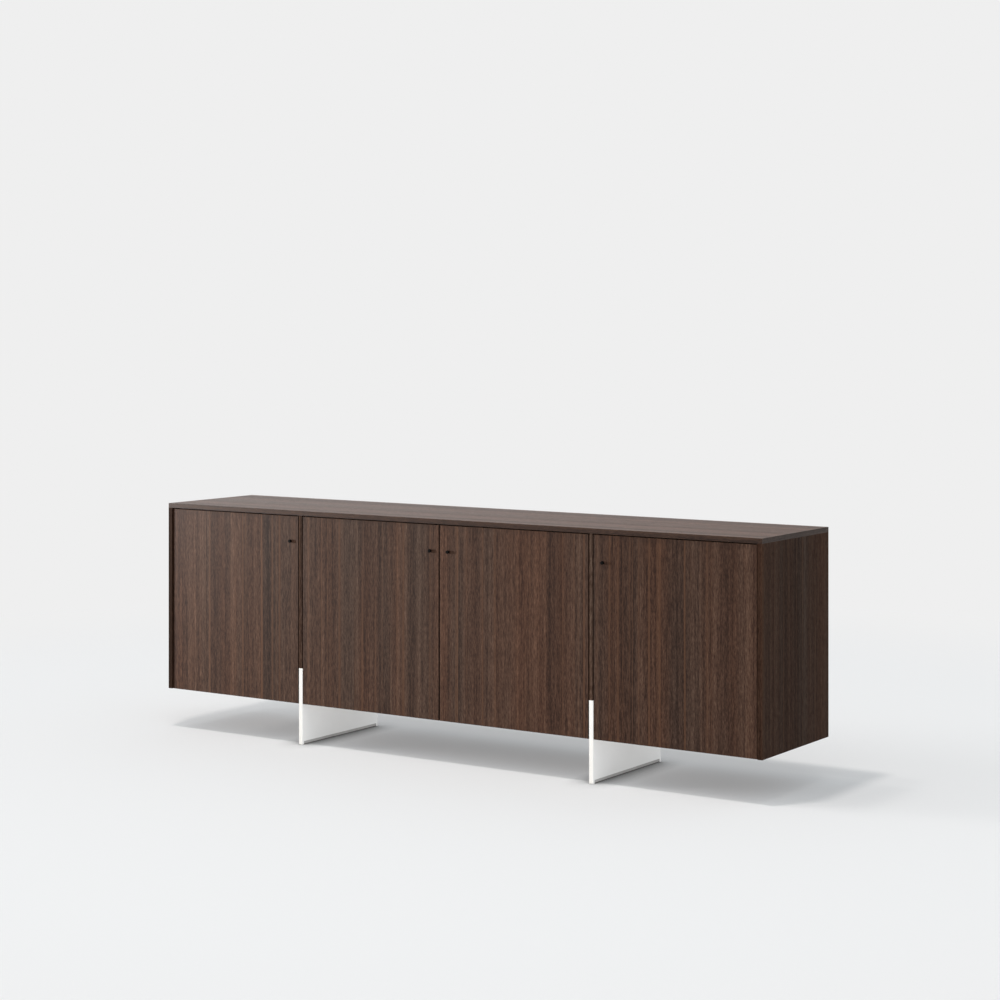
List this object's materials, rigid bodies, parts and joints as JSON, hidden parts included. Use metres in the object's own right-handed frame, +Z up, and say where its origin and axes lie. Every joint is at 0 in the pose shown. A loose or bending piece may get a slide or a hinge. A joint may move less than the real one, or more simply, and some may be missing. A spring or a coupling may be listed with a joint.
{
  "type": "sideboard",
  "caption": "Long low veneered sideboard with flat hinged doors, small knobs and inner shelves, raised on upright plate legs whose front edges rise between the doors.",
  "frame": {"origin": "on the floor, below the middle of the whole piece, knobs included", "axes": "+X to the right along the doors, +Y from the doors to the back, +Z up"},
  "size_m": [2.2, 0.429, 0.745],
  "materials": {
    "veneer_dark": "satin dark veneer",
    "veneer_inside": "satin dark veneer",
    "white_steel": "satin powder coat",
    "glide_grey": "matte",
    "knob_black": "matte black",
    "hinge_steel": "nickel plated",
    "fastener_steel": "zinc plated",
    "dowel_beech": "plain beech",
    "buffer_clear": "translucent"
  },
  "bodies": {
    "carcass": {"back_panel": "veneer_inside", "back_panel_screws": "fastener_steel", "bottom_panel": "veneer_inside", "carcass_dowels": "dowel_beech", "centre_shelf": "veneer_inside", "door_buffers": "buffer_clear", "hinge_arm_screws": "fastener_steel", "hinge_mounting_plates": "hinge_steel", "hinge_plate_screws": "fastener_steel", "left_glide_strip": "glide_grey", "left_inner_lower_hinge_arm": "hinge_steel", "left_inner_upper_hinge_arm": "hinge_steel", "left_leg_plate": "white_steel", "left_outer_lower_hinge_arm": "hinge_steel", "left_outer_upper_hinge_arm": "hinge_steel", "left_partition": "veneer_dark", "left_shelf": "veneer_inside", "left_side_panel": "veneer_dark", "leg_screws": "fastener_steel", "right_glide_strip": "glide_grey", "right_inner_lower_hinge_arm": "hinge_steel", "right_inner_upper_hinge_arm": "hinge_steel", "right_leg_plate": "white_steel", "right_outer_lower_hinge_arm": "hinge_steel", "right_outer_upper_hinge_arm": "hinge_steel", "right_partition": "veneer_dark", "right_shelf": "veneer_inside", "right_side_panel": "veneer_dark", "shelf_pins": "fastener_steel", "top_panel": "veneer_dark"},
    "left_outer_leaf": {"left_outer_cup_screws": "fastener_steel", "left_outer_door": "veneer_dark", "left_outer_hinge_pins": "fastener_steel", "left_outer_knob": "knob_black", "left_outer_knob_screw": "fastener_steel", "left_outer_lower_hinge_cup": "hinge_steel", "left_outer_upper_hinge_cup": "hinge_steel"},
    "left_inner_leaf": {"left_inner_cup_screws": "fastener_steel", "left_inner_door": "veneer_dark", "left_inner_hinge_pins": "fastener_steel", "left_inner_knob": "knob_black", "left_inner_knob_screw": "fastener_steel", "left_inner_lower_hinge_cup": "hinge_steel", "left_inner_upper_hinge_cup": "hinge_steel"},
    "right_inner_leaf": {"right_inner_cup_screws": "fastener_steel", "right_inner_door": "veneer_dark", "right_inner_hinge_pins": "fastener_steel", "right_inner_knob": "knob_black", "right_inner_knob_screw": "fastener_steel", "right_inner_lower_hinge_cup": "hinge_steel", "right_inner_upper_hinge_cup": "hinge_steel"},
    "right_outer_leaf": {"right_outer_cup_screws": "fastener_steel", "right_outer_door": "veneer_dark", "right_outer_hinge_pins": "fastener_steel", "right_outer_knob": "knob_black", "right_outer_knob_screw": "fastener_steel", "right_outer_lower_hinge_cup": "hinge_steel", "right_outer_upper_hinge_cup": "hinge_steel"}
  },
  "joints": [
    {"name": "left_outer_door_swing", "type": "hinge", "parent": "carcass", "child": "left_outer_leaf", "pos_m": [-1.062, -0.199, 0.466], "axis": [0, 0, -1], "range_deg": [0, 95]},
    {"name": "left_inner_door_swing", "type": "hinge", "parent": "carcass", "child": "left_inner_leaf", "pos_m": [-0.51325, -0.199, 0.466], "axis": [0, 0, -1], "range_deg": [0, 95]},
    {"name": "right_inner_door_swing", "type": "hinge", "parent": "carcass", "child": "right_inner_leaf", "pos_m": [0.51325, -0.199, 0.466], "axis": [0, 0, 1], "range_deg": [0, 95]},
    {"name": "right_outer_door_swing", "type": "hinge", "parent": "carcass", "child": "right_outer_leaf", "pos_m": [1.062, -0.199, 0.466], "axis": [0, 0, 1], "range_deg": [0, 95]}
  ]
}
